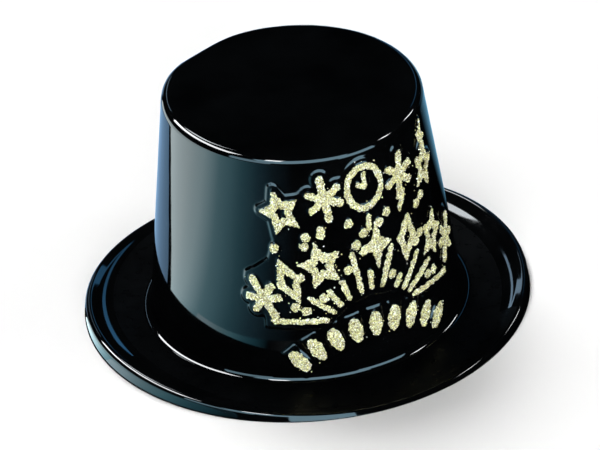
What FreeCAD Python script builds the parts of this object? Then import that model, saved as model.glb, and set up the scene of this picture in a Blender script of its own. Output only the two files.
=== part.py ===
import FreeCAD, Part
import math
import os

# New year party hat: a glossy top hat drawn from one sheet of thin black plastic,
# with a festive pattern of glued glitter on the front of the crown.
# Millimetres. The origin is the centre of the hat on the surface that it stands on,
# +Z is up and the decorated front faces -Y.

# ---- Driving dimensions ------------------------------------------------------------

SHEET = 0.6            # thickness of the formed plastic sheet
HEIGHT = 150.0         # from the trim edge to the tip
TIP_SADDLE = 0.9       # the tip's edge is this much higher at the sides, lower in front
TIP_FLAT = 20.0        # radius of the flat middle of the tip

# Half widths of the oval rings: (at the sides, at front and back)
TIP = (78.65, 83.85)
BASE = (98.6, 97.8)
UPTURN = (126.0, 131.0)
CREST = (139.2, 137.4)
TRIM = (140.2, 140.2)

# Heights of the brim's rings above the trim edge: (at the sides, at front and back)
BASE_Z = (1.0, 1.0)
UPTURN_Z = (5.2, 1.4)
CREST_Z = (11.8, 1.9)

# Bend radii of the sheet, on its outer face: (at the sides, at front and back)
TIP_BEND = (5.0, 5.0)
BASE_BEND = (4.5, 4.5)
UPTURN_BEND = (38.0, 24.0)
CREST_BEND = (3.2, 2.4)

GLITTER = 0.6          # thickness of the glued glitter
LAYOUT_RADIUS = 90.0   # crown radius at which the pattern's widths are measured
STROKE = 4.4           # width of the spokes of the bursts
RIM = 3.6              # width of the clock's rim
HAND = 2.8             # width of the clock's hands

# Large motifs stand on two arches: (shape, angle from the arch's top, width)
TOP_ARCH = {"centre": (2.5, -50.5), "radius": 175.0, "lean": 1.0, "height": 31.0}
TOP_MOTIFS = [
    ("star", 18.4, 25.0),
    ("burst", 8.9, 23.0),
    ("clock", -0.2, 27.0),
    ("burst", -9.4, 23.0),
    ("star", -18.4, 23.0),
]
LOW_ARCH = {"centre": (2.0, -15.5), "radius": 99.5, "lean": 0.72, "height": 32.0}
LOW_MOTIFS = [
    ("burst", 42.0, 18.0),
    ("lozenge", 31.0, 15.0),
    ("star", 18.5, 27.0),
    ("twinkle", -3.0, 21.0),
    ("lozenge", -16.5, 16.0),
    ("star", -31.0, 22.0),
    ("burst", -43.5, 17.0),
]
SPARK = (62.0, 134.5, -25.0, 10.0, 20.0)     # across, up, turn, width, height

# Rays of the fan: (where on its circle, direction, length)
FAN_CENTRE = (0.0, 25.0)
FAN_RADIUS = 31.0
RAY_WIDTH = 3.2
RAYS = [
    (147, 178, 35), (137, 142, 20), (127, 123, 15), (116, 107, 15), (101, 99, 29),
    (90, 86, 13), (77, 67, 27), (58, 58, 9), (46, 51, 25), (38, 28, 26), (30, -3, 36),
]

# Streaks between the motifs: (across, up, direction, length, width)
STREAKS = [(3.2, 100.5, 85, 11.0, 3.5), (30.2, 105.5, 64, 14.0, 3.0), (-28.5, 101.0, 80, 8.0, 4.6)]

# Oval drops under the fan
DROP_CENTRE = (0.5, -36.5)
DROP_RADIUS = 69.0
DROP_STEP = 10.3
DROP_COUNT = 9
DROP = (8.0, 16.5)

# Confetti dots: groups of (across, up)
DOT = 5.4
DOTS = [
    [(-57.5, 92.0)], [(-1.3, 94.5)], [(-43.0, 72.0)], [(-13.3, 73.0)], [(-29.0, 57.0)],
    [(15.0, 60.7)], [(-38.0, 98.6), (-39.0, 92.6)], [(17.0, 103.0), (10.6, 98.0)],
    [(43.0, 96.5), (49.0, 99.5)], [(-6.5, 88.0), (-2.0, 82.5)], [(42.0, 77.0), (37.0, 73.0)],
    [(-46.0, 52.5), (-39.7, 49.5)], [(43.0, 47.0), (49.0, 46.5)], [(-10.5, 103.5)],
]

BEND_STEPS = 6         # rings along each bend
RING_POINTS = 32       # points that each oval ring is drawn through
PRISM = (68.0, 112.0)  # radii between which the pattern's outlines are extruded

# ---- Oval rings and the skins of the hat -------------------------------------------


def section(side):
    """Corners of one half section, tip to trim edge: (radius, z, bend radius)."""
    lift = TIP_SADDLE if side == 0 else -TIP_SADDLE
    return [
        (TIP_FLAT, HEIGHT, 0.0),
        (TIP[side], HEIGHT + lift, TIP_BEND[side]),
        (BASE[side], BASE_Z[side], BASE_BEND[side]),
        (UPTURN[side], UPTURN_Z[side], UPTURN_BEND[side]),
        (CREST[side], CREST_Z[side], CREST_BEND[side]),
        (TRIM[side], 0.0, 0.0),
    ]


def heading(start, end):
    return math.atan2(end[1] - start[1], end[0] - start[0])


def section_points(side, offset):
    """Points along a half section, moved off the sheet's outer face by offset."""
    corners = section(side)
    points = [(corners[0][0], corners[0][1] + offset)]
    for before, (radius, z, bend), after in zip(corners, corners[1:], corners[2:]):
        start = heading(before, (radius, z))
        turn = heading((radius, z), after) - start
        way = 1.0 if turn < 0 else -1.0
        tangent = bend * math.tan(abs(turn) / 2)
        centre_r = radius - tangent * math.cos(start) + way * bend * math.sin(start)
        centre_z = z - tangent * math.sin(start) - way * bend * math.cos(start)
        reach = way * bend + offset
        for step in range(BEND_STEPS + 1):
            angle = start + turn * step / BEND_STEPS
            point_r = centre_r - reach * math.sin(angle)
            point_z = centre_z + reach * math.cos(angle)
            points.append((point_r, point_z))
    flange = heading(corners[-2], corners[-1])
    points.append((TRIM[side] - offset / math.sin(flange), 0.0))
    return points


def ring(half_x, side_z, half_y, front_z):
    """Closed oval ring whose height swings between the sides and the front and back."""
    points = []
    for index in range(RING_POINTS):
        angle = 2 * math.pi * index / RING_POINTS
        z = side_z * math.cos(angle) ** 2 + front_z * math.sin(angle) ** 2
        points.append(FreeCAD.Vector(half_x * math.cos(angle), half_y * math.sin(angle), z))
    curve = Part.BSplineCurve()
    curve.interpolate(Points=points, PeriodicFlag=True)
    return Part.Wire([curve.toShape()])


def skin_solid(offset, below=0.0):
    """All that lies inside the hat's outer face moved outwards by offset."""
    sides = section_points(0, offset)
    fronts = section_points(1, offset)
    rings = [ring(a, za, b, zb) for (a, za), (b, zb) in zip(sides, fronts)]
    if below:
        rings.append(ring(sides[-1][0], -below, fronts[-1][0], -below))
    return Part.makeLoft(rings, True, True)


# ---- Flat outlines of the pattern: x across, y up, centred -------------------------


def polygon(points):
    corners = [FreeCAD.Vector(x, y, 0) for x, y in points]
    return Part.Face(Part.makePolygon(corners + corners[:1]))


def star_face(count, width, height, waist):
    """Solid star with its first point up."""
    points = []
    for index in range(2 * count):
        angle = math.pi / 2 + math.pi * index / count
        reach = 0.5 if index % 2 == 0 else 0.5 * waist
        points.append((width * reach * math.cos(angle), height * reach * math.sin(angle)))
    return polygon(points)


def bar_face(length, width):
    """Bar along x with blunt, slightly pointed ends."""
    long, short, half = length / 2, length / 2 - 0.3 * width, width / 2
    return polygon([(long, 0), (short, half), (-short, half), (-long, 0), (-short, -half), (short, -half)])


def oval(width, height):
    """Upright oval, or a disc where both sizes are the same."""
    if width == height:
        edge = Part.Circle(FreeCAD.Vector(), FreeCAD.Vector(0, 0, 1), width / 2).toShape()
    else:
        edge = Part.Ellipse(FreeCAD.Vector(), height / 2, width / 2).toShape()
    return turned(Part.Face(Part.Wire([edge])), 90)


def turned(face, degrees):
    copy = face.copy()
    copy.rotate(FreeCAD.Vector(), FreeCAD.Vector(0, 0, 1), degrees)
    return copy


def joined(faces):
    return faces[0].multiFuse(faces[1:]).removeSplitter()


def open_star(width, height):
    """Five-pointed star drawn as an outline."""
    window = star_face(5, 0.36 * width, 0.36 * height, 0.52)
    return star_face(5, width, height, 0.52).cut(window)


def twinkle(width, height):
    """Slim four-pointed star."""
    return star_face(4, width, height, 0.42)


def lozenge(width, height):
    """Upright diamond drawn as an outline."""
    return diamond(width, height).cut(diamond(0.42 * width, 0.42 * height))


def diamond(width, height):
    return polygon([(0, height / 2), (-width / 2, 0), (0, -height / 2), (width / 2, 0)])


def burst(width, height):
    """Six spokes that meet in the middle, one of them upright."""
    spokes = []
    for index in range(3):
        angle = math.pi / 6 + math.pi * index / 3
        length = math.hypot(width * math.cos(angle), height * math.sin(angle))
        spokes.append(turned(bar_face(length, STROKE), math.degrees(angle)))
    return joined(spokes)


def clock(width, height):
    """Oval clock face with its hands at ten o'clock."""
    rim = oval(width, height).cut(oval(width - 2 * RIM, height - 2 * RIM))
    minute = bar_face(0.36 * height, HAND)
    minute.translate(FreeCAD.Vector(0.14 * height, 0, 0))
    hour = bar_face(0.25 * height, HAND)
    hour.translate(FreeCAD.Vector(0.08 * height, 0, 0))
    return joined([rim, turned(minute, 90), turned(hour, 150)])


SHAPES = {"star": open_star, "twinkle": twinkle, "lozenge": lozenge, "burst": burst, "clock": clock}


# ---- Places of the pattern on the crown --------------------------------------------
# Each item is (node name, outline, places), and each place is (across, up, turn in degrees).


def arch_items(prefix, arch, motifs):
    items = []
    for number, (shape, degrees, width) in enumerate(motifs, 1):
        angle = math.radians(90 + degrees)
        across = arch["centre"][0] + arch["radius"] * math.cos(angle)
        up = arch["centre"][1] + arch["radius"] * math.sin(angle)
        face = SHAPES[shape](width, arch["height"])
        place = (across, up, arch["lean"] * degrees)
        items.append((f"{prefix}_{number}_{shape}", face, [place]))
    return items


def spark_item():
    across, up, turn, width, height = SPARK
    face = twinkle(width, height)
    return ("glitter_spark", face, [(across, up, turn)])


def ray_items():
    items = []
    for number, (where, direction, length) in enumerate(RAYS, 1):
        start, along = math.radians(where), math.radians(direction)
        across = FAN_CENTRE[0] + FAN_RADIUS * math.cos(start) + length / 2 * math.cos(along)
        up = FAN_CENTRE[1] + FAN_RADIUS * math.sin(start) + length / 2 * math.sin(along)
        face = bar_face(length, RAY_WIDTH)
        items.append((f"glitter_ray_{number:02d}", face, [(across, up, direction)]))
    return items


def streak_items():
    items = []
    for number, (across, up, direction, length, width) in enumerate(STREAKS, 1):
        face = bar_face(length, width)
        items.append((f"glitter_streak_{number}", face, [(across, up, direction)]))
    return items


def drop_items():
    items = []
    for number in range(1, DROP_COUNT + 1):
        turn = DROP_STEP * ((DROP_COUNT + 1) / 2 - number)
        angle = math.radians(90 + turn)
        across = DROP_CENTRE[0] + DROP_RADIUS * math.cos(angle)
        up = DROP_CENTRE[1] + DROP_RADIUS * math.sin(angle)
        items.append((f"glitter_drop_{number}", oval(*DROP), [(across, up, turn)]))
    return items


def dot_items():
    items = []
    face = oval(DOT, DOT)
    for number, group in enumerate(DOTS, 1):
        places = [(across, up, 0.0) for across, up in group]
        items.append((f"glitter_dots_{number:02d}", face, places))
    return items


def facing_angle(across, up):
    """Direction from the hat's axis to a place on the crown's oval wall."""
    share = up / HEIGHT
    half_x = BASE[0] + (TIP[0] - BASE[0]) * share
    half_y = BASE[1] + (TIP[1] - BASE[1]) * share
    angle = across / LAYOUT_RADIUS - math.pi / 2
    return math.atan2(half_y * math.sin(angle), half_x * math.cos(angle))


def prism(face, across, up, turn):
    """Stand a flat outline upright at its place and extrude it out through the crown."""
    angle = facing_angle(across, up)
    outward = FreeCAD.Vector(math.cos(angle), math.sin(angle), 0)
    sideways = FreeCAD.Vector(-math.sin(angle), math.cos(angle), 0)
    facing = FreeCAD.Rotation(sideways, FreeCAD.Vector(0, 0, 1), outward)
    foot = outward * PRISM[0] + FreeCAD.Vector(0, 0, up)
    solid = turned(face, turn).extrude(FreeCAD.Vector(0, 0, PRISM[1] - PRISM[0]))
    solid.Placement = FreeCAD.Placement(foot, facing).multiply(solid.Placement)
    return solid


# ---- The hat's sheet and the glitter on it -----------------------------------------


def hat_shell():
    return skin_solid(0.0).cut(skin_solid(-SHEET, below=1.0))


def glitter(face, places, crown, coated):
    """Thin layers of glitter that follow the crown's face at each place."""
    layers = [prism(face, *place).common(coated).cut(crown) for place in places]
    return Part.Compound([solid for layer in layers for solid in layer.Solids])


def main():
    os.makedirs("parts", exist_ok=True)
    hat_shell().exportStep("parts/hat_shell.step")
    items = arch_items("glitter_top", TOP_ARCH, TOP_MOTIFS)
    items += arch_items("glitter_low", LOW_ARCH, LOW_MOTIFS)
    items += [spark_item()] + ray_items() + streak_items() + drop_items() + dot_items()
    crown = skin_solid(0.0)
    coated = skin_solid(GLITTER)
    for name, face, places in items:
        glitter(face, places, crown, coated).exportStep(f"parts/{name}.step")


main()
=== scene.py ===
import math

import bpy
import numpy as np
from mathutils import Matrix, Vector


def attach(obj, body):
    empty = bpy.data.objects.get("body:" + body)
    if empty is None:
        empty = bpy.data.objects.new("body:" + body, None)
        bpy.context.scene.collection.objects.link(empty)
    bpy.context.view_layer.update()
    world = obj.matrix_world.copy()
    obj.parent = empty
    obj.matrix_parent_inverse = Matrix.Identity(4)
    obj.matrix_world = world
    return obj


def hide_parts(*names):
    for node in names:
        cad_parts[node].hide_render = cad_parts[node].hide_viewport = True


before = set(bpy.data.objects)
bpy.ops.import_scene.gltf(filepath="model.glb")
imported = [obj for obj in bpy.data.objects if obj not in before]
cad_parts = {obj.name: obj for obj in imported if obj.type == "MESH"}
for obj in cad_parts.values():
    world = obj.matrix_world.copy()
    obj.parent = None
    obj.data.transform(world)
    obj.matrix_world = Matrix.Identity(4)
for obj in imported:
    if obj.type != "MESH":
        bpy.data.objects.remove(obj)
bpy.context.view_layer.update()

# New year party hat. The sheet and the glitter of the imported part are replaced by
# finished meshes of the same sizes. Lengths are millimetres until a mesh is made.
# The front of the hat faces -Y. On the crown a place is (across, up): the length of
# arc from the front's middle at LAYOUT_RADIUS, and the height above the table.

MM = 0.001

# ---- Sizes of the hat, as in the CAD part ------------------------------------------

SHEET = 0.6
HEIGHT = 150.0
TIP_SADDLE = 0.9
TIP_FLAT = 20.0
TIP = (78.65, 83.85)
BASE = (98.6, 97.8)
UPTURN = (126.0, 131.0)
CREST = (139.2, 137.4)
TRIM = (140.2, 140.2)
BASE_Z = (1.0, 1.0)
UPTURN_Z = (5.2, 1.4)
CREST_Z = (11.8, 1.9)
TIP_BEND = (5.0, 5.0)
BASE_BEND = (4.5, 4.5)
UPTURN_BEND = (38.0, 24.0)
CREST_BEND = (3.2, 2.4)
LAYOUT_RADIUS = 90.0

# ---- The raised pattern -------------------------------------------------------------

PANEL_RAISE = 1.1      # the panel that the whole pattern stands on
PANEL_MARGIN = 3.6     # the panel's edge runs this far outside the large motifs
PANEL_BLEND = 3.0      # rounding where the panel's edge passes from one motif to the next
PANEL_LEFT = [(-76, 74), (-62, 85)]      # where it passes from the lower to the upper row
PANEL_FOOT = [(-64, 38), (-30, 36), (-14, 49), (0, 52), (14, 49), (30, 36), (66, 34)]
FIGURE_RAISE = 0.7     # each coated figure, above the panel
FIGURE_MARGIN = 0.5
TILE_RAISE = 1.0
TILE = (10.6, 21.5)    # the raised tile that each drop stands on
TILE_ROUNDING = 1.0
EDGE_WIDTH = 1.8       # width of the slope at an edge of the raised pattern
STROKE = 4.4
HAND = 2.8
RIM = 3.6

TOP_ARCH = {"centre": (2.5, -50.5), "radius": 175.0, "lean": 1.0, "height": 31.0}
TOP_MOTIFS = [
    ("star", 18.4, 25.0),
    ("burst", 8.9, 23.0),
    ("clock", -0.2, 27.0),
    ("burst", -9.4, 23.0),
    ("star", -18.4, 23.0),
]
LOW_ARCH = {"centre": (2.0, -15.5), "radius": 99.5, "lean": 0.72, "height": 32.0}
LOW_MOTIFS = [
    ("burst", 42.0, 18.0),
    ("lozenge", 31.0, 15.0),
    ("star", 18.5, 27.0),
    ("twinkle", -3.0, 21.0),
    ("lozenge", -16.5, 16.0),
    ("star", -31.0, 22.0),
    ("burst", -43.5, 17.0),
]
SPARK = (62.0, 134.5, -25.0, 10.0, 20.0)
FAN_CENTRE = (0.0, 25.0)
FAN_RADIUS = 31.0
RAY_WIDTH = 3.2
RAYS = [
    (147, 178, 35), (137, 142, 20), (127, 123, 15), (116, 107, 15), (101, 99, 29),
    (90, 86, 13), (77, 67, 27), (58, 58, 9), (46, 51, 25), (38, 28, 26), (30, -3, 36),
]
STREAKS = [
    (3.2, 100.5, 85, 11.0, 3.5), (30.2, 105.5, 64, 14.0, 3.0), (-28.5, 101.0, 80, 8.0, 4.6),
]
DROP_CENTRE = (0.5, -36.5)
DROP_RADIUS = 69.0
DROP_STEP = 10.3
DROP_COUNT = 9
DROP = (8.0, 16.5)
DOT = 5.4
DOTS = [
    [(-57.5, 92.0)], [(-1.3, 94.5)], [(-43.0, 72.0)], [(-13.3, 73.0)], [(-29.0, 57.0)],
    [(15.0, 60.7)], [(-38.0, 98.6), (-39.0, 92.6)], [(17.0, 103.0), (10.6, 98.0)],
    [(43.0, 96.5), (49.0, 99.5)], [(-6.5, 88.0), (-2.0, 82.5)], [(42.0, 77.0), (37.0, 73.0)],
    [(-46.0, 52.5), (-39.7, 49.5)], [(43.0, 47.0), (49.0, 46.5)], [(-10.5, 103.5)],
]

# The soft dent at the edge of the tip: direction from +X and spread in degrees, and depth
DENT_TOWARDS = 110.0
DENT_SPREAD = 15.0
DENT_DEPTH = 2.3

# ---- Fineness of the meshes -----------------------------------------------------------

FRONT_REACH = 86.0     # the finely divided front of the crown, each way from its middle
FINE = 0.6             # cell size there
COARSE = 2.4           # cell size elsewhere
BEND_STEPS = 10
OUTER_STEPS = (6, 236, 8, 6, 5)     # divisions of the straights of the sheet's outer face
INNER_STEPS = (5, 118, 6, 4, 4)
FLAT_ROWS = slice(265, 273)         # rows of faces on the flat of the brim
BRIM_ROWS = slice(265, 289)         # those and the upturned part that faces the crown
SCUFFED_TOWARDS = -98.0             # middle of the front part that is scuffed up to there
SCUFFED_REACH = 56.0                # and how far it reaches each way, in degrees
GLITTER_CELL = 0.42
LAYER_SINK = 0.15      # the underside of the glue lies this far inside the sheet
FLAKE_PITCH = 0.78
FLAKE_RADIUS = (0.30, 0.62)
FLAKE_LEAN = 0.55      # how unevenly the flakes lie
STRAY_REACH = 3.0      # how far outside a figure a lost flake may lie
STRAY_SHARE = 0.008    # how much of the bare sheet there holds one

# ---- The hat's surface ----------------------------------------------------------------


def section(side):
    """Corners of one half section, tip to trim edge: (radius, z, bend radius)."""
    lift = TIP_SADDLE if side == 0 else -TIP_SADDLE
    return [
        (TIP_FLAT, HEIGHT, 0.0),
        (TIP[side], HEIGHT + lift, TIP_BEND[side]),
        (BASE[side], BASE_Z[side], BASE_BEND[side]),
        (UPTURN[side], UPTURN_Z[side], UPTURN_BEND[side]),
        (CREST[side], CREST_Z[side], CREST_BEND[side]),
        (TRIM[side], 0.0, 0.0),
    ]


def heading(start, end):
    return math.atan2(end[1] - start[1], end[0] - start[0])


def spread(start, end, count):
    """Points strictly between two section points, evenly spaced."""
    steps = np.arange(1, count) / count
    return [tuple(np.array(start) + (np.array(end) - np.array(start)) * t) for t in steps]


def section_points(side, offset, between):
    """Section points off the sheet's outer face by offset; between[i] divides straight i."""
    corners = section(side)
    points = [(corners[0][0] * t, corners[0][1] + offset) for t in (0.04, 0.35, 0.7, 1.0)]
    for index in range(1, len(corners) - 1):
        radius, z, bend = corners[index]
        start = heading(corners[index - 1], corners[index])
        turn = heading(corners[index], corners[index + 1]) - start
        way = 1.0 if turn < 0 else -1.0
        tangent = bend * math.tan(abs(turn) / 2)
        centre_r = radius - tangent * math.cos(start) + way * bend * math.sin(start)
        centre_z = z - tangent * math.sin(start) - way * bend * math.cos(start)
        reach = way * bend + offset
        arc = []
        for step in range(BEND_STEPS + 1):
            angle = start + turn * step / BEND_STEPS
            arc.append((centre_r - reach * math.sin(angle), centre_z + reach * math.cos(angle)))
        points += spread(points[-1], arc[0], between[index - 1]) + arc
    flange = heading(corners[-2], corners[-1])
    edge = (TRIM[side] - offset / math.sin(flange), 0.0)
    return points + spread(points[-1], edge, between[-1]) + [edge]


def column_angles():
    """Angles of the mesh's columns, close together across the decorated front."""
    reach = FRONT_REACH / LAYOUT_RADIUS
    fine = np.linspace(-reach, reach, int(2 * FRONT_REACH / FINE) + 1)
    rest = 2 * math.pi - 2 * reach
    coarse = np.linspace(reach, reach + rest, int(rest * LAYOUT_RADIUS / COARSE) + 1)[1:-1]
    return np.concatenate([fine, coarse]) - math.pi / 2


def half_widths(z, angle):
    """Half widths of the crown's oval where its wall is z high."""
    share = (z - BASE_Z[0]) / (HEIGHT - BASE_Z[0] + TIP_SADDLE * np.cos(2 * angle))
    return [BASE[side] + (TIP[side] - BASE[side]) * share for side in (0, 1)]


def crown_points(across, up, lift):
    """Points of the crown's outer face at places on it, raised by lift."""
    angle = across / LAYOUT_RADIUS - math.pi / 2
    half_x, half_y = half_widths(up, angle)
    normal = crown_normals(angle)
    base = np.stack([half_x * np.cos(angle), half_y * np.sin(angle), up + 0 * angle], -1)
    return base + normal * np.asarray(lift)[..., None]


def crown_normals(angle):
    """Outward unit normals of the crown's wall."""
    lean = [(BASE[side] - TIP[side]) / (HEIGHT - BASE_Z[0]) for side in (0, 1)]
    along_x = np.cos(angle) / BASE[0]
    along_y = np.sin(angle) / BASE[1]
    length = np.hypot(along_x, along_y)
    along_x, along_y = along_x / length, along_y / length
    slope = lean[0] * np.cos(angle) ** 2 + lean[1] * np.sin(angle) ** 2
    normal = np.stack([along_x, along_y, slope], -1)
    return normal / np.linalg.norm(normal, axis=-1, keepdims=True)


# ---- Distances to the pattern's outlines: negative inside ------------------------------


def polygon_distance(x, y, corners):
    """Distance to the outline through the corners."""
    corners = np.array(corners)
    nearest = np.full(np.shape(x), 1e9)
    inside = np.zeros(np.shape(x), bool)
    for (ax, ay), (bx, by) in zip(corners, np.roll(corners, -1, axis=0)):
        share = ((x - ax) * (bx - ax) + (y - ay) * (by - ay)) / ((bx - ax) ** 2 + (by - ay) ** 2)
        share = np.clip(share, 0, 1)
        gap = np.hypot(x - ax - share * (bx - ax), y - ay - share * (by - ay))
        nearest = np.minimum(nearest, gap)
        if ay != by:
            crosses = ((ay > y) != (by > y)) & (x < (bx - ax) * (y - ay) / (by - ay) + ax)
            inside ^= crosses
    return np.where(inside, -nearest, nearest)


def star_distance(x, y, count, width, height, waist):
    """Star with count points; waist is how far in its inner corners are."""
    corners = []
    for index in range(2 * count):
        angle = math.pi / 2 + math.pi * index / count
        reach = 0.5 if index % 2 == 0 else 0.5 * waist
        corners.append((width * reach * math.cos(angle), height * reach * math.sin(angle)))
    return polygon_distance(x, y, corners)


def bar_distance(x, y, length, width):
    """Bar along x with round ends."""
    over = np.maximum(np.abs(x) - (length - width) / 2, 0)
    return np.hypot(over, y) - width / 2


def oval_distance(x, y, width, height):
    """Close to the true distance near the oval's edge."""
    reach = np.hypot(2 * x / width, 2 * y / height)
    steepness = np.hypot(x * (2 / width) ** 2, y * (2 / height) ** 2) + 1e-9
    return np.where(reach > 0.05, reach * (reach - 1) / steepness, -min(width, height) / 2)


def turned(x, y, degrees):
    """Coordinates in axes that are turned by degrees."""
    cosine, sine = math.cos(math.radians(degrees)), math.sin(math.radians(degrees))
    return x * cosine + y * sine, y * cosine - x * sine


def star(x, y, width, height):
    outside = star_distance(x, y, 5, width, height, 0.52)
    window = star_distance(x, y, 5, 0.36 * width, 0.36 * height, 0.52)
    return np.maximum(outside, -window)


def twinkle(x, y, width, height):
    return star_distance(x, y, 4, width, height, 0.42)


def lozenge(x, y, width, height):
    diamonds = []
    for scale in (1.0, 0.42):
        tall, wide = scale * height / 2, scale * width / 2
        diamonds.append(polygon_distance(x, y, [(0, tall), (-wide, 0), (0, -tall), (wide, 0)]))
    return np.maximum(diamonds[0], -diamonds[1])


def burst(x, y, width, height):
    """Three bars across each other: six spokes."""
    nearest = np.full(np.shape(x), 1e9)
    for index in range(3):
        angle = math.pi / 6 + math.pi * index / 3
        length = math.hypot(width * math.cos(angle), height * math.sin(angle))
        along, aside = turned(x, y, math.degrees(angle))
        nearest = np.minimum(nearest, bar_distance(along, aside, length, STROKE))
    return nearest


def clock(x, y, width, height):
    """A rim with two hands, at ten o'clock."""
    window = oval_distance(x, y, width - 2 * RIM, height - 2 * RIM)
    rim = np.maximum(oval_distance(x, y, width, height), -window)
    for turn, length, middle in ((90, 0.36, 0.14), (150, 0.25, 0.08)):
        along, aside = turned(x, y, turn)
        hand = bar_distance(along - middle * height, aside, length * height, HAND)
        rim = np.minimum(rim, hand)
    return rim


SHAPES = {"star": star, "twinkle": twinkle, "lozenge": lozenge, "burst": burst, "clock": clock}


# ---- The pattern: figures are (node name, distance, reach, places) ---------------------


def arch_figures(prefix, arch, motifs):
    figures = []
    for number, (shape, degrees, width) in enumerate(motifs, 1):
        angle = math.radians(90 + degrees)
        across = arch["centre"][0] + arch["radius"] * math.cos(angle)
        up = arch["centre"][1] + arch["radius"] * math.sin(angle)
        place = (across, up, arch["lean"] * degrees)
        size = (width, arch["height"])
        figures.append((f"{prefix}_{number}_{shape}", SHAPES[shape], size, [place]))
    return figures


def bar_figure(name, across, up, direction, length, width):
    return (name, bar_distance, (length, width), [(across, up, direction)])


def small_figures():
    across, up, turn, width, height = SPARK
    figures = [("glitter_spark", twinkle, (width, height), [(across, up, turn)])]
    for number, (where, direction, length) in enumerate(RAYS, 1):
        start, along = math.radians(where), math.radians(direction)
        across = FAN_CENTRE[0] + FAN_RADIUS * math.cos(start) + length / 2 * math.cos(along)
        up = FAN_CENTRE[1] + FAN_RADIUS * math.sin(start) + length / 2 * math.sin(along)
        name = f"glitter_ray_{number:02d}"
        figures.append(bar_figure(name, across, up, direction, length, RAY_WIDTH))
    for number, (across, up, direction, length, width) in enumerate(STREAKS, 1):
        name = f"glitter_streak_{number}"
        figures.append(bar_figure(name, across, up, direction, length, width))
    for number, group in enumerate(DOTS, 1):
        places = [(across, up, 0.0) for across, up in group]
        figures.append((f"glitter_dots_{number:02d}", oval_distance, (DOT, DOT), places))
    return figures


def drop_places():
    places = []
    for number in range(1, DROP_COUNT + 1):
        turn = DROP_STEP * ((DROP_COUNT + 1) / 2 - number)
        angle = math.radians(90 + turn)
        across = DROP_CENTRE[0] + DROP_RADIUS * math.cos(angle)
        up = DROP_CENTRE[1] + DROP_RADIUS * math.sin(angle)
        places.append((across, up, turn))
    return places


def drop_figures():
    return [(f"glitter_drop_{number}", oval_distance, DROP, [place])
            for number, place in enumerate(drop_places(), 1)]


MOTIFS = arch_figures("glitter_top", TOP_ARCH, TOP_MOTIFS)
MOTIFS += arch_figures("glitter_low", LOW_ARCH, LOW_MOTIFS)
FIGURES = MOTIFS + small_figures() + drop_figures()


def local(across, up, place):
    """A figure's own coordinates, in real millimetres on the crown's wall."""
    radius = BASE[1] + (TIP[1] - BASE[1]) * up / HEIGHT
    return turned((across - place[0]) * radius / LAYOUT_RADIUS, up - place[1], place[2])


def soft_union(first, second, blend):
    """The nearer of two distances, with the corner between them rounded."""
    mix = np.clip(0.5 + 0.5 * (second - first) / blend, 0, 1)
    return second + (first - second) * mix - blend * mix * (1 - mix)


def step_up(distance, width):
    """1 inside an outline and 0 outside, with a smooth slope across it."""
    share = np.clip(0.5 - distance / width, 0, 1)
    return 0.75 * share + 0.25 * share * share * (3 - 2 * share)


def panel_distance(across, up):
    """The panel that follows the large motifs' outlines and fills the space between."""
    tops = [places[0][:2] for name, _, _, places in MOTIFS if "top" in name]
    lows = [places[0][:2] for name, _, _, places in MOTIFS if "low" in name]
    rows = polygon_distance(across, up, tops + lows[::-1] + PANEL_LEFT)
    fan = polygon_distance(across, up, lows[:1] + PANEL_FOOT + lows[:0:-1])
    panel = np.minimum(rows, fan)
    for _, shape, size, places in MOTIFS:
        x, y = local(across, up, places[0])
        panel = soft_union(panel, shape(x, y, *size) - PANEL_MARGIN, PANEL_BLEND)
    return panel


def raised(across, up):
    """Height of the raised pattern at places on the crown."""
    height = PANEL_RAISE * step_up(panel_distance(across, up), EDGE_WIDTH)
    tiles = np.full(np.shape(across), 1e9)
    for place in drop_places():
        x, y = local(across, up, place)
        beyond_x = np.abs(x) - TILE[0] / 2 + TILE_ROUNDING
        beyond_y = np.abs(y) - TILE[1] / 2 + TILE_ROUNDING
        outside = np.hypot(np.maximum(beyond_x, 0), np.maximum(beyond_y, 0))
        inside = np.minimum(np.maximum(beyond_x, beyond_y), 0)
        tiles = np.minimum(tiles, outside + inside - TILE_ROUNDING)
    height = np.maximum(height, TILE_RAISE * step_up(tiles, EDGE_WIDTH))
    figures = np.full(np.shape(across), 1e9)
    for _, shape, size, places in FIGURES:
        for place in places:
            figures = np.minimum(figures, shape(*local(across, up, place), *size))
    return height + FIGURE_RAISE * step_up(figures - FIGURE_MARGIN, EDGE_WIDTH)


# ---- Meshes -----------------------------------------------------------------------------


def mesh_object(name, points, faces, materials, smooth=True):
    """A new piece in the scene from points in millimetres."""
    mesh = bpy.data.meshes.new(name)
    mesh.from_pydata((np.asarray(points) * MM).tolist(), [], faces)
    mesh.polygons.foreach_set("use_smooth", np.full(len(mesh.polygons), smooth))
    for material in materials:
        mesh.materials.append(material)
    mesh.update()
    piece = bpy.data.objects.new(name, mesh)
    bpy.context.scene.collection.objects.link(piece)
    return piece


def dent(grid, angles):
    """How far the back left of the tip's edge has sunk."""
    away = (np.degrees(angles) - DENT_TOWARDS + 180) % 360 - 180
    share = np.exp(-(away / DENT_SPREAD) ** 2)
    near_edge = np.clip((np.hypot(grid[..., 0], grid[..., 1]) - 45) / 30, 0, 1)
    high = np.clip((grid[..., 2] - 105) / 40, 0, 1)
    return DENT_DEPTH * share * near_edge ** 2 * high ** 2


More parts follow.
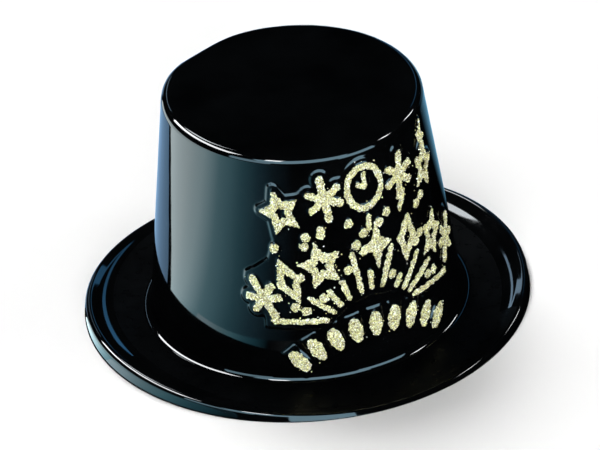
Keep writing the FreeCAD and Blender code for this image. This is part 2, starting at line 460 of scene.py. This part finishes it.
def skin(offset, between, angles):
    """Grid of points on one face of the sheet: rows from the tip to the trim edge."""
    sides = section_points(0, offset, between)
    fronts = section_points(1, offset, between)
    rows = []
    for (half_x, side_z), (half_y, front_z) in zip(sides, fronts):
        z = side_z * np.cos(angles) ** 2 + front_z * np.sin(angles) ** 2
        rows.append(np.stack([half_x * np.cos(angles), half_y * np.sin(angles), z], -1))
    grid = np.array(rows)
    grid[..., 2] -= dent(grid, angles)
    wall_start = 3 + between[0] + BEND_STEPS
    wall = slice(wall_start, wall_start + between[1] + BEND_STEPS // 2)
    across = (np.broadcast_to(angles, grid[wall].shape[:2]) + math.pi / 2) * LAYOUT_RADIUS
    front = np.abs(across) < FRONT_REACH
    lift = np.where(front, raised(across, grid[wall][..., 2]), 0.0)
    grid[wall] += crown_normals(angles)[None] * lift[..., None]
    return grid


def shell_piece(materials):
    """The hat's sheet: outer face, trim edge and inner face in one closed mesh."""
    angles = column_angles()
    outer = skin(0.0, OUTER_STEPS, angles)
    inner = skin(-SHEET, INNER_STEPS, angles)[::-1]
    grid = np.concatenate([outer, inner])
    rows, columns = grid.shape[:2]
    index = np.arange(rows * columns).reshape(rows, columns)
    right = np.roll(index, -1, axis=1)
    quads = np.stack([index[:-1], index[1:], right[1:], right[:-1]], -1).reshape(-1, 4)
    caps = [index[0].tolist(), index[-1][::-1].tolist()]
    piece = mesh_object("hat_sheet", grid.reshape(-1, 3), quads.tolist() + caps, materials)
    scuffed = np.zeros((rows - 1, columns), int)
    scuffed[BRIM_ROWS] = np.abs(np.degrees(angles) - SCUFFED_TOWARDS) < SCUFFED_REACH
    scuffed[FLAT_ROWS] = 1
    piece.data.polygons.foreach_set("material_index", scuffed.ravel().tolist() + [0, 0])
    return piece


# ---- Glitter ----------------------------------------------------------------------------


def grain(x, y, cell, seed):
    """Smooth random bumps from 0 to 1 whose size is about cell."""
    table = np.random.default_rng(seed).random((64, 64))
    column, row = np.floor(x / cell).astype(int), np.floor(y / cell).astype(int)
    across, up = x / cell - column, y / cell - row
    across, up = across * across * (3 - 2 * across), up * up * (3 - 2 * up)
    edges = []
    for level in (row % 64, (row + 1) % 64):
        left, right = table[level, column % 64], table[level, (column + 1) % 64]
        edges.append(left * (1 - across) + right * across)
    return edges[0] * (1 - up) + edges[1] * up


def ragged(x, y, shape, size, seed):
    """Distance to the uneven edge that a layer of glitter has."""
    knobs = 1.15 * (grain(x, y, 1.5, seed) - 0.5) + 0.4 * (grain(x, y, 0.7, seed + 1) - 0.5)
    return shape(x, y, *size) - 0.15 + knobs


def layer_height(distance, x, y, seed):
    """Thickness of the glitter: a low mound with a bumpy top, and next to none outside."""
    mound = 0.18 + 0.42 * (1 - np.exp(np.minimum(distance, 0) / 0.7))
    bumpy = mound + 0.16 * (grain(x, y, 0.9, seed + 2) - 0.5)
    return np.where(distance > 0.4, 0.02, bumpy)


def on_crown(x, y, place, height):
    """World points of a figure's own coordinates, that far above the raised pattern."""
    turned_x, turned_y = turned(x, y, -place[2])
    up = place[1] + turned_y
    radius = BASE[1] + (TIP[1] - BASE[1]) * up / HEIGHT
    across = place[0] + turned_x * LAYOUT_RADIUS / radius
    points = crown_points(across, up, raised(across, up) + height)
    return points, crown_normals(across / LAYOUT_RADIUS - math.pi / 2)


def close_corners(filled):
    """Fill cells so that no two filled cells touch at a corner alone."""
    for _ in range(4):
        slash = filled[:-1, :-1] & filled[1:, 1:] & ~filled[:-1, 1:] & ~filled[1:, :-1]
        back = filled[:-1, 1:] & filled[1:, :-1] & ~filled[:-1, :-1] & ~filled[1:, 1:]
        filled[:-1, 1:] |= slash
        filled[:-1, :-1] |= back
    return filled


def layer_mesh(shape, size, place, seed):
    """Closed bumpy layer of glue and glitter over one figure."""
    reach = [max(size) / 2 + 1.5] * 2
    if shape is bar_distance:
        reach = [size[0] / 2 + 1.5, size[1] / 2 + 1.5]
    xs = np.arange(-reach[0], reach[0] + GLITTER_CELL, GLITTER_CELL)
    ys = np.arange(-reach[1], reach[1] + GLITTER_CELL, GLITTER_CELL)
    x, y = np.meshgrid(xs, ys)
    distance = ragged(x, y, shape, size, seed)
    middle = (distance[:-1, :-1] + distance[1:, :-1] + distance[:-1, 1:] + distance[1:, 1:]) / 4
    filled = close_corners(middle < 0)
    slope_y, slope_x = np.gradient(distance, GLITTER_CELL)
    steep = np.hypot(slope_x, slope_y) + 1e-6
    pull = np.where(np.abs(distance) < GLITTER_CELL, distance, 0) * 0.8
    x, y = x - pull * slope_x / steep, y - pull * slope_y / steep
    height = layer_height(distance, x, y, seed)
    top, _ = on_crown(x.ravel(), y.ravel(), place, height.ravel())
    foot, _ = on_crown(x.ravel(), y.ravel(), place, np.full(x.size, -LAYER_SINK))
    index = np.arange(x.size).reshape(x.shape)
    cells = np.stack([index[:-1, :-1], index[:-1, 1:], index[1:, 1:], index[1:, :-1]], -1)[filled]
    faces = cells.tolist() + (cells[:, ::-1] + x.size).tolist()
    edges = {}
    for cell in cells.tolist():
        for start, end in zip(cell, cell[1:] + cell[:1]):
            edges[(start, end)] = (end, start)
    for start, end in edges:
        if (end, start) not in edges:
            faces.append([end, start, start + x.size, end + x.size])
    return used_only(np.concatenate([top, foot]), faces)


def used_only(points, faces):
    """The mesh without the points that no face uses."""
    used = sorted({corner for face in faces for corner in face})
    place = {corner: order for order, corner in enumerate(used)}
    return points[used], [[place[corner] for corner in face] for face in faces]


def flakes_at(points, normals, draw):
    """Six-sided flakes that sit at all angles, each closed by a point below it."""
    count = len(points)
    lean = normals + draw.normal(0, FLAKE_LEAN, (count, 3))
    lean /= np.linalg.norm(lean, axis=1, keepdims=True)
    first = np.cross(lean, draw.normal(0, 1, (count, 3)))
    first /= np.linalg.norm(first, axis=1, keepdims=True)
    second = np.cross(lean, first)
    radius = draw.uniform(*FLAKE_RADIUS, (count, 1))
    corners = []
    for index in range(6):
        angle = math.pi * index / 3
        corners.append(points + radius * (math.cos(angle) * first + math.sin(angle) * second))
    corners.append(points - lean * radius * 0.9)
    points = np.stack(corners, 1).reshape(-1, 3)
    faces = []
    for start in range(0, 7 * count, 7):
        faces.append([start + index for index in range(6)])
        faces += [[start + (index + 1) % 6, start + index, start + 6] for index in range(6)]
    return points, faces


def flake_mesh(shape, size, place, seed):
    """Loose flakes all over one figure, and a few beside it."""
    draw = np.random.default_rng(seed)
    reach = max(size) / 2 + STRAY_REACH
    xs = np.arange(-reach, reach, FLAKE_PITCH)
    x, y = (part.ravel() for part in np.meshgrid(xs, xs))
    x = x + draw.uniform(-0.5, 0.5, x.size) * FLAKE_PITCH
    y = y + draw.uniform(-0.5, 0.5, y.size) * FLAKE_PITCH
    distance = ragged(x, y, shape, size, seed)
    stray = (distance < STRAY_REACH) & (draw.random(x.size) < STRAY_SHARE)
    kept = (distance < -0.02) | stray
    x, y, distance = x[kept], y[kept], distance[kept]
    height = layer_height(distance, x, y, seed) + draw.uniform(0.0, 0.16, x.size)
    points, normals = on_crown(x, y, place, height)
    return flakes_at(points, normals, draw)


def glitter_piece(figure, seed, materials):
    """The coat of one figure: a layer of glue with loose flakes on it."""
    name, shape, size, places = figure
    points, faces, kinds = [], [], []
    start = 0
    for order, place in enumerate(places):
        own_seed = seed * 100 + order * 10
        for kind, make in enumerate((layer_mesh, flake_mesh)):
            new_points, new_faces = make(shape, size, place, own_seed)
            points.append(new_points)
            faces += [[corner + start for corner in face] for face in new_faces]
            kinds += [kind] * len(new_faces)
            start += len(new_points)
    piece = mesh_object(f"{name}_coat", np.concatenate(points), faces, materials, False)
    piece.data.polygons.foreach_set("material_index", kinds)
    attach(piece, "root")
    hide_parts(name)


# ---- Materials ---------------------------------------------------------------------------


def material_with(name, **inputs):
    """A material with constants set on its shader; also its nodes and the shader."""
    material = bpy.data.materials.new(name)
    material.use_nodes = True
    shader = material.node_tree.nodes["Principled BSDF"]
    for key, value in inputs.items():
        shader.inputs[key.replace("_", " ")].default_value = value
    return material, material.node_tree, shader


def noise(tree, scale, detail, stretch=(1, 1, 1)):
    """Noise fixed to the object; scale counts its waves in a metre."""
    place = tree.nodes.new("ShaderNodeTexCoord")
    mapping = tree.nodes.new("ShaderNodeMapping")
    mapping.inputs["Scale"].default_value = stretch
    texture = tree.nodes.new("ShaderNodeTexNoise")
    texture.inputs["Scale"].default_value = scale
    texture.inputs["Detail"].default_value = detail
    tree.links.new(place.outputs["Object"], mapping.inputs["Vector"])
    tree.links.new(mapping.outputs["Vector"], texture.inputs["Vector"])
    return texture


def ramp(tree, source, stops):
    """Colours, or plain values, between the stops at a source's value."""
    node = tree.nodes.new("ShaderNodeValToRGB")
    elements = node.color_ramp.elements
    while len(elements) < len(stops):
        elements.new(0.5)
    for element, (position, colour) in zip(elements, stops):
        element.position = position
        element.color = (*colour, 1) if isinstance(colour, tuple) else (colour, colour, colour, 1)
    tree.links.new(source, node.inputs["Fac"])
    return node


BLACK_STOPS = [
    (0.3, (0.0004, 0.0005, 0.0006)),
    (0.7, (0.0010, 0.0012, 0.0014)),
]


def black_plastic(name, shine, smooth, rubbed):
    """Black sheet with the slow ripple of drawn plastic, from smooth to rubbed in roughness."""
    material, tree, shader = material_with(name, Specular_IOR_Level=shine, IOR=1.57)
    tint = ramp(tree, noise(tree, 30, 2).outputs["Fac"], BLACK_STOPS)
    tree.links.new(tint.outputs["Color"], shader.inputs["Base Color"])
    wear = noise(tree, 160, 6, (1, 1, 0.25)).outputs["Fac"]
    rubs = ramp(tree, wear, [(0.35, smooth), (0.75, rubbed)])
    tree.links.new(rubs.outputs["Color"], shader.inputs["Roughness"])
    ripple = tree.nodes.new("ShaderNodeBump")
    ripple.inputs["Strength"].default_value = 0.06
    ripple.inputs["Distance"].default_value = 0.0006
    tree.links.new(noise(tree, 55, 1).outputs["Fac"], ripple.inputs["Height"])
    tree.links.new(ripple.outputs["Normal"], shader.inputs["Normal"])
    return material


GOLD_STOPS = [
    (0.00, (0.12, 0.09, 0.04)),
    (0.12, (0.34, 0.29, 0.13)),
    (0.26, (0.66, 0.63, 0.26)),
    (0.46, (0.90, 0.88, 0.40)),
    (0.70, (0.98, 0.96, 0.58)),
    (0.88, (1.00, 1.00, 0.92)),
]


def flake_gold():
    """Each flake has its own shade, from brown through pale gold to white."""
    material, tree, shader = material_with("glitter_flakes", Metallic=0.35)
    island = tree.nodes.new("ShaderNodeNewGeometry")
    shade = ramp(tree, island.outputs["Random Per Island"], GOLD_STOPS)
    tree.links.new(shade.outputs["Color"], shader.inputs["Base Color"])
    gloss = ramp(tree, noise(tree, 900, 2).outputs["Fac"], [(0.3, 0.22), (0.7, 0.45)])
    tree.links.new(gloss.outputs["Color"], shader.inputs["Roughness"])
    return material


def layer_gold():
    """Buried flakes and glue between the loose ones."""
    material, tree, shader = material_with("glitter_bed", Metallic=0.25)
    cells = tree.nodes.new("ShaderNodeTexVoronoi")
    cells.inputs["Scale"].default_value = 1700
    place = tree.nodes.new("ShaderNodeTexCoord")
    tree.links.new(place.outputs["Object"], cells.inputs["Vector"])
    split = tree.nodes.new("ShaderNodeSeparateColor")
    tree.links.new(cells.outputs["Color"], split.inputs["Color"])
    darker = [(at, tuple(0.5 * part for part in colour)) for at, colour in GOLD_STOPS]
    shade = ramp(tree, split.outputs["Red"], darker)
    tree.links.new(shade.outputs["Color"], shader.inputs["Base Color"])
    gloss = ramp(tree, split.outputs["Green"], [(0.0, 0.30), (1.0, 0.55)])
    tree.links.new(gloss.outputs["Color"], shader.inputs["Roughness"])
    return material


# ---- Stage, lights and camera --------------------------------------------------------------

CAMERA_AZIMUTH = -24.38
CAMERA_ELEVATION = 32.16
CAMERA_ROLL = 4.41
CAMERA_DISTANCE = 2600.0
CAMERA_LENS = 251.0
CAMERA_TARGET = Vector((0, 0, 56))
CAMERA_AIM = (0.8, 3.7)       # the hat's middle stands this far right of and above the view's
FLOOR_REACH = 4000
CARD_DISTANCE = 2000.0


def camera_axes():
    """Unit vectors to the right, up and back from the picture, before its roll."""
    around, above = math.radians(CAMERA_AZIMUTH), math.radians(CAMERA_ELEVATION)
    right = Vector((math.cos(around), math.sin(around), 0))
    level = Vector((math.sin(around), -math.cos(around), 0))
    back = level * math.cos(above) + Vector((0, 0, math.sin(above)))
    return right, back.cross(right), back


def add_camera():
    right, up, back = camera_axes()
    roll = math.radians(CAMERA_ROLL)
    rolled_right = right * math.cos(roll) - up * math.sin(roll)
    rolled_up = right * math.sin(roll) + up * math.cos(roll)
    aim = CAMERA_TARGET - rolled_right * CAMERA_AIM[0] - rolled_up * CAMERA_AIM[1]
    data = bpy.data.cameras.new("camera")
    data.lens = CAMERA_LENS
    data.clip_end = 100
    camera = bpy.data.objects.new("camera", data)
    turn = Matrix((rolled_right, rolled_up, back)).transposed()
    camera.matrix_world = Matrix.Translation((aim + back * CAMERA_DISTANCE) * MM) @ turn.to_4x4()
    bpy.context.scene.collection.objects.link(camera)
    bpy.context.scene.camera = camera


def square(half, z):
    return [(-half, -half, z), (half, -half, z), (half, half, z), (-half, half, z)]


def plain_floor():
    material, tree, shader = material_with("pale_floor", Roughness=0.9, Specular_IOR_Level=0.0)
    tone = ramp(tree, noise(tree, 3, 2).outputs["Fac"], [(0.2, 0.54), (0.8, 0.56)])
    tree.links.new(tone.outputs["Color"], shader.inputs["Base Color"])
    floor = mesh_object("floor", square(FLOOR_REACH, 0), [[0, 1, 2, 3]], [material], False)


def area_light(name, place, size, power):
    """Softbox that faces the hat from a place in metres; cards stand in for its reflection."""
    data = bpy.data.lights.new(name, "AREA")
    data.shape = "RECTANGLE"
    data.size, data.size_y = size
    data.energy = power
    light = bpy.data.objects.new(name, data)
    facing = (-Vector(place)).to_track_quat("-Z", "Y").to_matrix()
    light.matrix_world = Matrix.Translation(place) @ facing.to_4x4()
    light.visible_glossy = False
    bpy.context.scene.collection.objects.link(light)


def reflected_card(name, corners, colour, strength):
    """A card that shows once, in glossy surfaces only. Returns its nodes and its glow."""
    material = bpy.data.materials.new(name)
    material.use_nodes = True
    tree = material.node_tree
    tree.nodes.clear()
    glow = tree.nodes.new("ShaderNodeEmission")
    glow.inputs["Color"].default_value = (*colour, 1)
    glow.inputs["Strength"].default_value = strength
    path = tree.nodes.new("ShaderNodeLightPath")
    first = tree.nodes.new("ShaderNodeMath")
    first.operation = "LESS_THAN"
    first.inputs[1].default_value = 1.5
    tree.links.new(path.outputs["Ray Depth"], first.inputs[0])
    dark = tree.nodes.new("ShaderNodeEmission")
    dark.inputs["Strength"].default_value = 0.0
    either = tree.nodes.new("ShaderNodeMixShader")
    tree.links.new(first.outputs["Value"], either.inputs["Fac"])
    tree.links.new(dark.outputs["Emission"], either.inputs[1])
    tree.links.new(glow.outputs["Emission"], either.inputs[2])
    output = tree.nodes.new("ShaderNodeOutputMaterial")
    tree.links.new(either.outputs["Shader"], output.inputs["Surface"])
    card = mesh_object(name, corners, [list(range(len(corners)))], [material], False)
    card.visible_camera = False
    card.visible_diffuse = False
    card.visible_transmission = False
    card.visible_shadow = False
    return tree, glow


def hung_card(name, direction, size, turn, colour, strength):
    """A card, its size in metres, that hangs in a direction from the hat, turned about it."""
    facing = Vector(direction).normalized().to_track_quat("Z", "Y").to_matrix()
    width, height = 500 * size[0], 500 * size[1]
    corners = []
    for x, y in ((-width, -height), (width, -height), (width, height), (-width, height)):
        x, y = turned(x, y, -turn)
        corners.append(facing @ Vector((x, y, CARD_DISTANCE)))
    reflected_card(name, corners, colour, strength)


# Painted reflection of the table in the crown, from glossy-only cards, as (degrees around the
# hat, colour): grey on the left and darker to the front, with a narrow blue strip towards the
# back.
GREY_GLOW = [
    (-180, (0.20, 0.39, 0.45)),
    (-172, (0.14, 0.31, 0.37)),
    (-161, (0.065, 0.18, 0.225)),
    (-149, (0.028, 0.08, 0.11)),
    (-137, (0.010, 0.025, 0.035)),
    (-122, (0.00, 0.00, 0.00)),
    (90, (0.50, 0.58, 0.60)),
    (122, (0.50, 0.58, 0.60)),
    (150, (0.58, 0.71, 0.74)),
    (165, (0.51, 0.70, 0.75)),
    (172, (0.38, 0.58, 0.64)),
    (180, (0.20, 0.39, 0.45)),
]
NEAR_GREY_GLOW = [
    (-180, (0.38, 0.52, 0.57)),
    (-171, (0.34, 0.50, 0.56)),
    (-165, (0.23, 0.40, 0.45)),
    (-157, (0.13, 0.32, 0.38)),
    (-150, (0.06, 0.19, 0.24)),
    (-144, (0.03, 0.12, 0.16)),
    (-136, (0.00, 0.00, 0.00)),
] + GREY_GLOW[6:]
BLUE_GLOW = [
    (12, (0.00, 0.00, 0.00)),
    (24, (0.03, 0.08, 0.12)),
    (42, (0.06, 0.15, 0.22)),
    (60, (0.09, 0.16, 0.25)),
    (180, (0.09, 0.16, 0.25)),
]


# How far from the hat's middle the glow begins, its nearest part ends, and it all ends
GLOW_FROM = 141.0
GLOW_NEAR = 165.0
GLOW_TO = 30000.0
GLOW_HEIGHT = 0.6      # above the table


def dark_edge(distance):
    """Degrees around the hat of the line between blue and grey, upright once mirrored."""
    return 154.0 - 36.7 * math.log(min(distance, 700.0) / 150.0)


def blue_ends(distance):
    """Where the blue glow begins and ends around the hat, in degrees."""
    return 12.0, dark_edge(distance) - 2.0


def grey_ends(distance):
    """Where the grey glow begins and ends around the hat, in degrees."""
    return dark_edge(distance) + 2.5, 238.0


def glowing_part(name, reach, ends, stops):
    """A flat part of a ring around the hat that paints the table's reflection, its colour
    changing with the direction.

    ends gives the degrees where the part begins and ends at a distance from the middle.
    """
    along = np.geomspace(*reach, 25)
    outline = [(distance, ends(distance)[0]) for distance in along]
    outline += [(reach[1], turn) for turn in np.linspace(*ends(reach[1]), 40)[1:-1]]
    outline += [(distance, ends(distance)[1]) for distance in along[::-1]]
    outline += [(reach[0], turn) for turn in np.linspace(*ends(reach[0]), 40)[-2:0:-1]]
    corners = []
    for distance, turn in outline:
        across, back = math.cos(math.radians(turn)), math.sin(math.radians(turn))
        corners.append((distance * across, distance * back, GLOW_HEIGHT))
    tree, glow = reflected_card(name, corners, (0, 0, 0), 4.0)
    gradient = tree.nodes.new("ShaderNodeTexGradient")
    gradient.gradient_type = "RADIAL"
    place = tree.nodes.new("ShaderNodeTexCoord")
    tree.links.new(place.outputs["Object"], gradient.inputs["Vector"])
    shares = [((degrees + 180) / 360, colour) for degrees, colour in stops]
    shade = ramp(tree, gradient.outputs["Fac"], shares)
    tree.links.new(shade.outputs["Color"], glow.inputs["Color"])


def painted_table_reflection():
    """What the crown mirrors in place of the table: the painted glow, and a black card that
    paints the reflection dark where there is none.
    """
    # A black card seen only in glossy surfaces: a painted dark reflection in place of the pale
    # table.
    reflected_card("dark_reflection_card", square(GLOW_TO, GLOW_HEIGHT / 2), (0, 0, 0), 0.0)
    glowing_part("blue_glow", (GLOW_FROM, GLOW_TO), blue_ends, BLUE_GLOW)
    glowing_part("near_grey_glow", (GLOW_FROM, GLOW_NEAR), grey_ends, NEAR_GREY_GLOW)
    glowing_part("grey_glow", (GLOW_NEAR, GLOW_TO), grey_ends, GREY_GLOW)


def studio():
    plain_floor()
    painted_table_reflection()
    world = bpy.data.worlds.new("studio")
    world.use_nodes = True
    sky = world.node_tree.nodes["Background"]
    sky.inputs["Color"].default_value = (0.10, 0.14, 0.18, 1)
    sky.inputs["Strength"].default_value = 0.003
    bpy.context.scene.world = world
    area_light("key", (-0.04, 1.17, 1.85), (1.0, 0.8), 68)
    area_light("second", (-0.95, -0.70, 1.75), (0.5, 0.5), 18)
    area_light("third", (1.30, -0.90, 1.50), (0.5, 0.5), 12)
    area_light("fill", (-0.6, -2.4, 0.65), (1.4, 0.7), 70)
    hung_card("key_card", (-0.40, 0.50, 0.75), (1.65, 0.52), 38, (0.96, 0.98, 1.0), 18.0)
    hung_card("back_card", (0.06, 0.66, 0.74), (0.34, 0.32), 0, (0.90, 0.96, 1.0), 9.0)
    hung_card("second_card", (-0.45, -0.33, 0.83), (0.34, 0.34), 0, (0.96, 0.98, 1.0), 24.0)
    hung_card("third_card", (0.62, -0.15, 0.77), (0.20, 0.26), 0, (0.96, 0.98, 1.0), 24.0)
    hung_card("side_card", (0.76, 0.18, 0.60), (0.15, 0.40), 0, (0.96, 0.98, 1.0), 18.0)
    hung_card("front_glow", (-0.28, -0.62, 0.62), (2.4, 1.3), 0, (0.50, 0.82, 1.0), 4.5)
    hung_card("left_glow", (-0.85, -0.35, 0.42), (1.2, 0.9), 0, (0.50, 0.82, 1.0), 3.4)
    hung_card("right_glow", (0.35, -0.80, 0.45), (1.2, 1.0), 0, (0.50, 0.82, 1.0), 4.5)
    hung_card("brim_glow", (0.55, 0.70, 0.45), (0.12, 1.05), 17, (0.12, 0.46, 0.9), 1.2)
    hung_card("far_glow", (0.12, 0.87, 0.46), (0.09, 0.55), -20, (0.50, 0.75, 1.0), 2.4)


def main():
    bright = black_plastic("black_sheet_plastic", 0.5, 0.035, 0.075)
    scuffed = black_plastic("scuffed_brim_plastic", 0.03, 0.26, 0.40)
    shell = shell_piece([bright, scuffed])
    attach(shell, "root")
    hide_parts("hat_shell")
    gold = [layer_gold(), flake_gold()]
    for seed, figure in enumerate(FIGURES, 1):
        glitter_piece(figure, seed, gold)
    studio()
    add_camera()
    bpy.context.scene.view_settings.view_transform = "Standard"


main()
